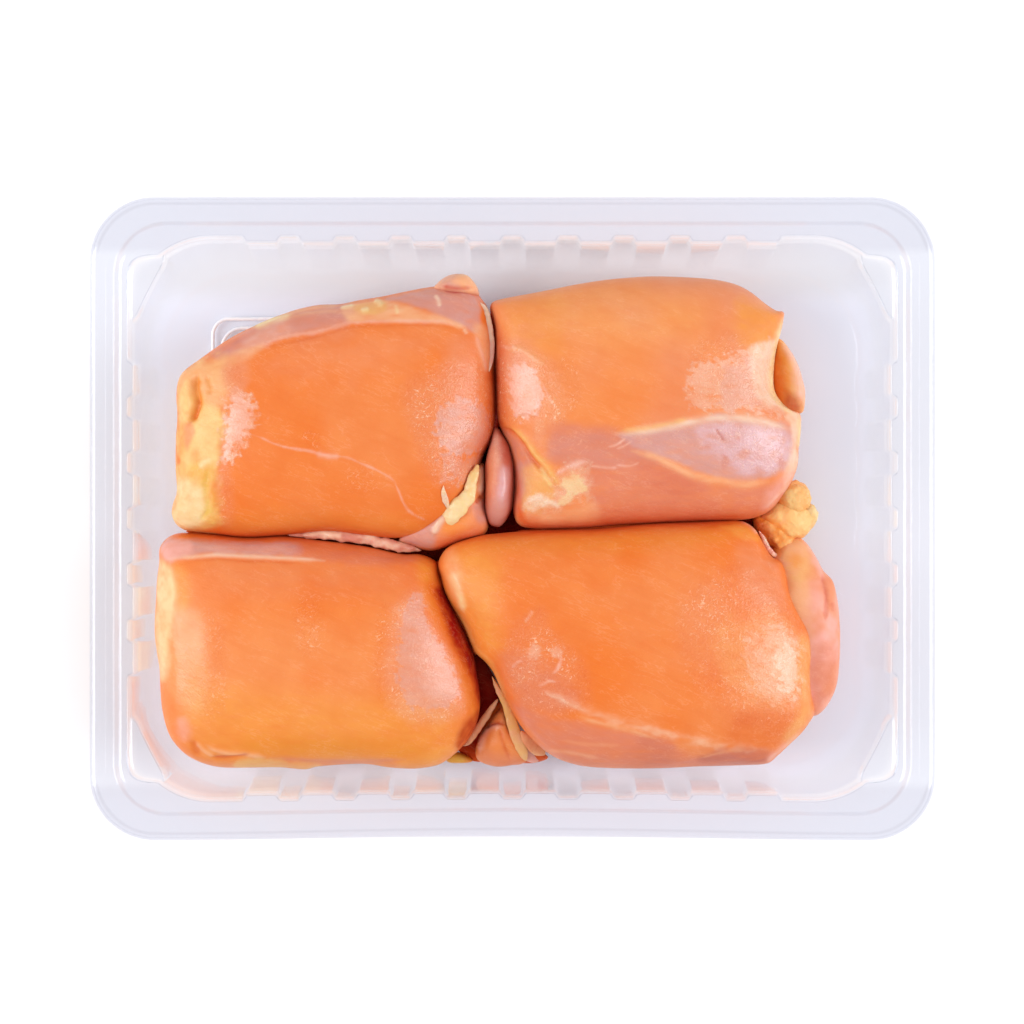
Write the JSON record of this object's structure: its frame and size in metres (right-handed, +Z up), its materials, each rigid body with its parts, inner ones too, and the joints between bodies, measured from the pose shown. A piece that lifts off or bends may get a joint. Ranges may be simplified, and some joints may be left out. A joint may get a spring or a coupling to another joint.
{
  "type": "meat tray pack",
  "caption": "Open clear plastic meat tray with a flat rim and ribbed walls, packed with raw folded boneless poultry thighs lying side by side.",
  "frame": {"origin": "under the middle of the tray, on the surface that it rests on", "axes": "+X along the tray's long side to the right of the picture, +Y along its short side to the top of the picture, +Z up out of the open tray"},
  "size_m": [0.23, 0.175, 0.045],
  "materials": {
    "clear_plastic": "thin, clear, faintly lavender thermoformed plastic, glossy",
    "flesh_rear_left": "raw moist poultry flesh, orange with pale sinew and yellow fat, glossy in patches",
    "flesh_rear_right": "raw moist poultry flesh, orange with mauve muscle and yellow fat, glossy in patches",
    "flesh_front_left": "raw moist poultry flesh, orange with a mauve edge and yellow fat, glossy in patches",
    "flesh_front_right": "raw moist poultry flesh, orange shading to mauve, with pale sinew, glossy in patches"
  },
  "bodies": {
    "root": {"tray": "clear_plastic", "thigh_rear_left": "flesh_rear_left", "thigh_rear_right": "flesh_rear_right", "thigh_front_left": "flesh_front_left", "thigh_front_right": "flesh_front_right"}
  },
  "joints": []
}
